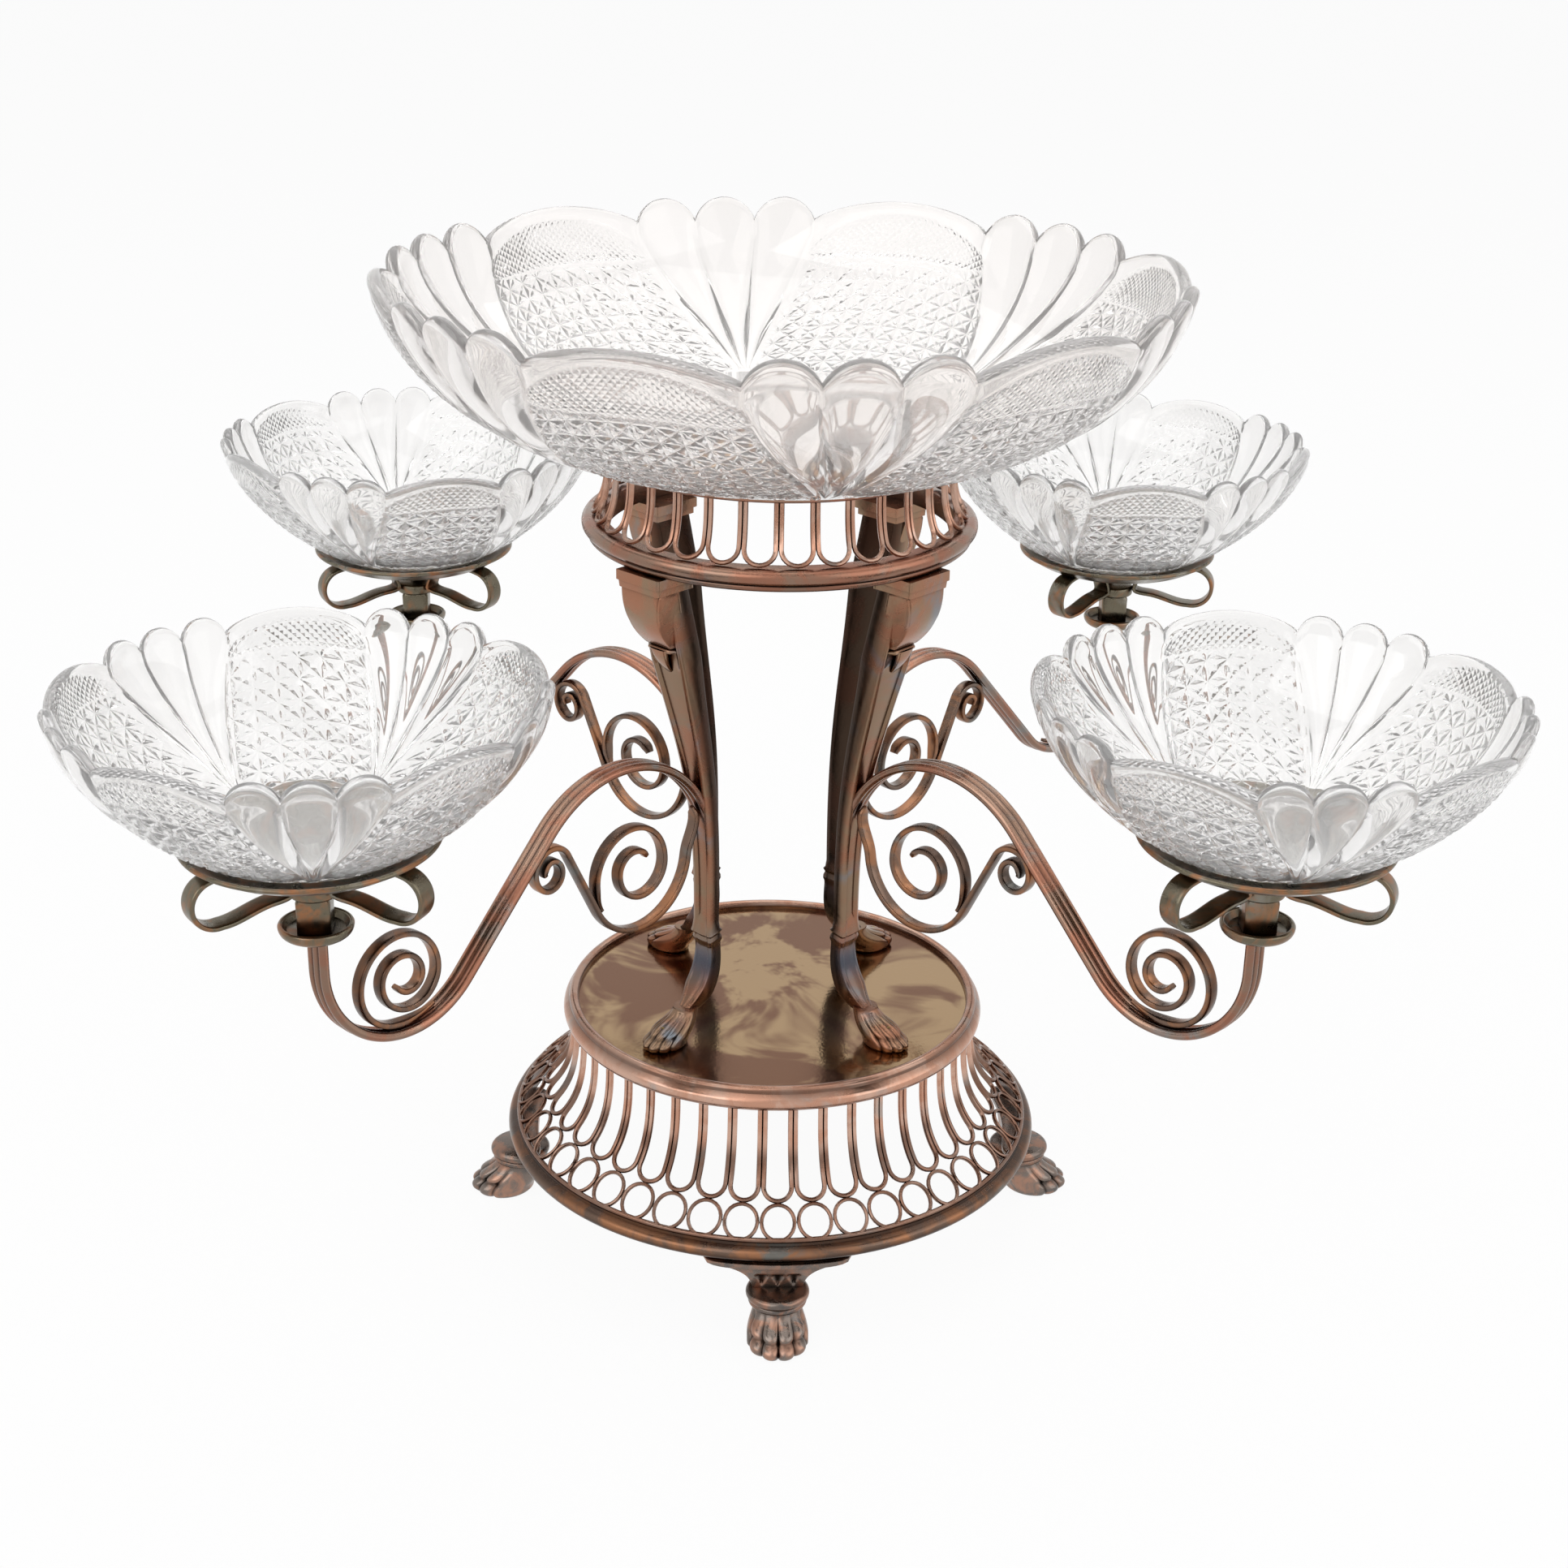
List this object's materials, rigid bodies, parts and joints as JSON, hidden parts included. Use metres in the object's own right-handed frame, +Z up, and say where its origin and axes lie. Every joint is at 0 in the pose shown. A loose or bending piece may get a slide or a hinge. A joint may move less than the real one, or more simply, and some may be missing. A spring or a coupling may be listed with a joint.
{
  "type": "epergne",
  "caption": "Table centrepiece in worn plated metal: pierced base on paw feet, sabre legs and scrolled branches that hold cut-glass bowls on swivelling carriers.",
  "frame": {"origin": "on the table, under the middle of the base", "axes": "+Z up, -Y to the front foot, branches on the diagonals of X and Y"},
  "size_m": [0.4121, 0.4122, 0.3372],
  "materials": {
    "copper_plate": "worn silver plate with copper showing through",
    "brown_plate": "tarnished plate, brown with copper edges",
    "patina_plate": "mottled golden brown patina, polished",
    "dark_bronze": "dark cast bronze tone with copper highlights",
    "screw_brass": "dull brass",
    "cut_glass": "clear cut glass"
  },
  "bodies": {
    "stand": {"base_gallery": "copper_plate", "top_ring": "copper_plate", "top_gallery": "copper_plate", "bowl_seat": "copper_plate", "base_ring": "brown_plate", "platform": "patina_plate", "leg_screws": "screw_brass", "foot_front": "dark_bronze", "foot_right": "dark_bronze", "foot_back": "dark_bronze", "foot_left": "dark_bronze", "leg_front_left": "copper_plate", "leg_front_right": "copper_plate", "leg_back_right": "copper_plate", "leg_back_left": "copper_plate", "capital_front_left": "copper_plate", "capital_front_right": "copper_plate", "capital_back_right": "copper_plate", "capital_back_left": "copper_plate", "arm_front_left": "copper_plate", "arm_front_right": "copper_plate", "arm_back_right": "copper_plate", "arm_back_left": "copper_plate", "trough_scroll_front_left": "brown_plate", "trough_scroll_front_right": "brown_plate", "trough_scroll_back_right": "brown_plate", "trough_scroll_back_left": "brown_plate", "leg_scroll_front_left": "brown_plate", "leg_scroll_front_right": "brown_plate", "leg_scroll_back_right": "brown_plate", "leg_scroll_back_left": "brown_plate", "inner_scroll_front_left": "brown_plate", "inner_scroll_front_right": "brown_plate", "inner_scroll_back_right": "brown_plate", "inner_scroll_back_left": "brown_plate", "socket_front_left": "dark_bronze", "socket_front_right": "dark_bronze", "socket_back_right": "dark_bronze", "socket_back_left": "dark_bronze"},
    "carrier_front_left": {"carrier_hub_front_left": "dark_bronze", "carrier_straps_front_left": "dark_bronze", "carrier_dish_front_left": "dark_bronze"},
    "carrier_front_right": {"carrier_hub_front_right": "dark_bronze", "carrier_straps_front_right": "dark_bronze", "carrier_dish_front_right": "dark_bronze"},
    "carrier_back_right": {"carrier_hub_back_right": "dark_bronze", "carrier_straps_back_right": "dark_bronze", "carrier_dish_back_right": "dark_bronze"},
    "carrier_back_left": {"carrier_hub_back_left": "dark_bronze", "carrier_straps_back_left": "dark_bronze", "carrier_dish_back_left": "dark_bronze"},
    "bowl_front_left": {"bowl_front_left": "cut_glass"},
    "bowl_front_right": {"bowl_front_right": "cut_glass"},
    "bowl_back_right": {"bowl_back_right": "cut_glass"},
    "bowl_back_left": {"bowl_back_left": "cut_glass"},
    "centre_bowl": {"centre_bowl": "cut_glass"}
  },
  "joints": [
    {"name": "carrier_turn_front_left", "type": "hinge", "parent": "stand", "child": "carrier_front_left", "pos_m": [-0.13612, -0.13612, 0.1835], "axis": [0, 0, 1], "continuous": true},
    {"name": "carrier_turn_front_right", "type": "hinge", "parent": "stand", "child": "carrier_front_right", "pos_m": [0.13612, -0.13612, 0.1835], "axis": [0, 0, 1], "continuous": true},
    {"name": "carrier_turn_back_right", "type": "hinge", "parent": "stand", "child": "carrier_back_right", "pos_m": [0.13612, 0.13612, 0.1835], "axis": [0, 0, 1], "continuous": true},
    {"name": "carrier_turn_back_left", "type": "hinge", "parent": "stand", "child": "carrier_back_left", "pos_m": [-0.13612, 0.13612, 0.1835], "axis": [0, 0, 1], "continuous": true},
    {"name": "bowl_lift_front_left", "type": "slide", "parent": "carrier_front_left", "child": "bowl_front_left", "axis": [0, 0, 1], "range_m": [0, 0.05]},
    {"name": "bowl_lift_front_right", "type": "slide", "parent": "carrier_front_right", "child": "bowl_front_right", "axis": [0, 0, 1], "range_m": [0, 0.05]},
    {"name": "bowl_lift_back_right", "type": "slide", "parent": "carrier_back_right", "child": "bowl_back_right", "axis": [0, 0, 1], "range_m": [0, 0.05]},
    {"name": "bowl_lift_back_left", "type": "slide", "parent": "carrier_back_left", "child": "bowl_back_left", "axis": [0, 0, 1], "range_m": [0, 0.05]},
    {"name": "centre_bowl_lift", "type": "slide", "parent": "stand", "child": "centre_bowl", "axis": [0, 0, 1], "range_m": [0, 0.08]}
  ]
}
